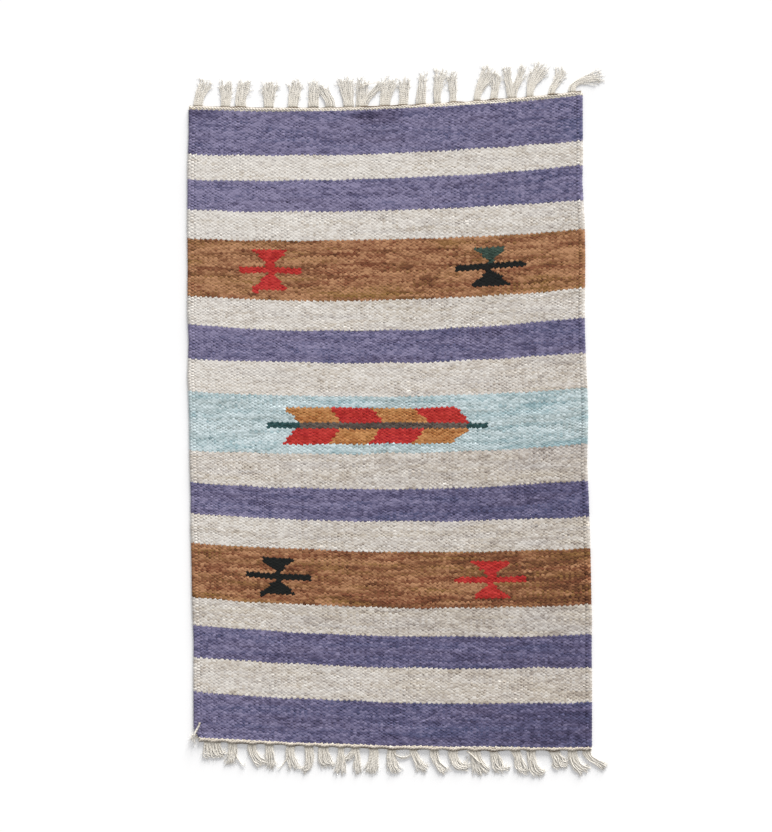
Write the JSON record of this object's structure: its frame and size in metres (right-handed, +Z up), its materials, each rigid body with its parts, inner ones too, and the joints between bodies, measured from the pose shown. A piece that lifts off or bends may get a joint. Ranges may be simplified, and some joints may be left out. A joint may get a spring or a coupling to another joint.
{
  "type": "dhurrie rug",
  "caption": "Flat-woven striped dhurrie rug lying open, with plain wool bands, small hourglass figures, selvedge cords and a knotted warp fringe at each short edge.",
  "frame": {"origin": "under the middle of the woven field, on its flat underside", "axes": "+X across the rug to the right, +Y along it to the far short edge, +Z up out of the face"},
  "size_m": [0.638, 1.0749, 0.0064],
  "materials": {
    "wool_ivory": "matt",
    "wool_violet": "matt",
    "wool_tan": "matt",
    "wool_blue": "matt",
    "cotton_warp": "matt"
  },
  "bodies": {
    "root": {"woven_field": "wool_ivory", "fringe_far": "cotton_warp", "fringe_near": "cotton_warp"}
  },
  "joints": []
}
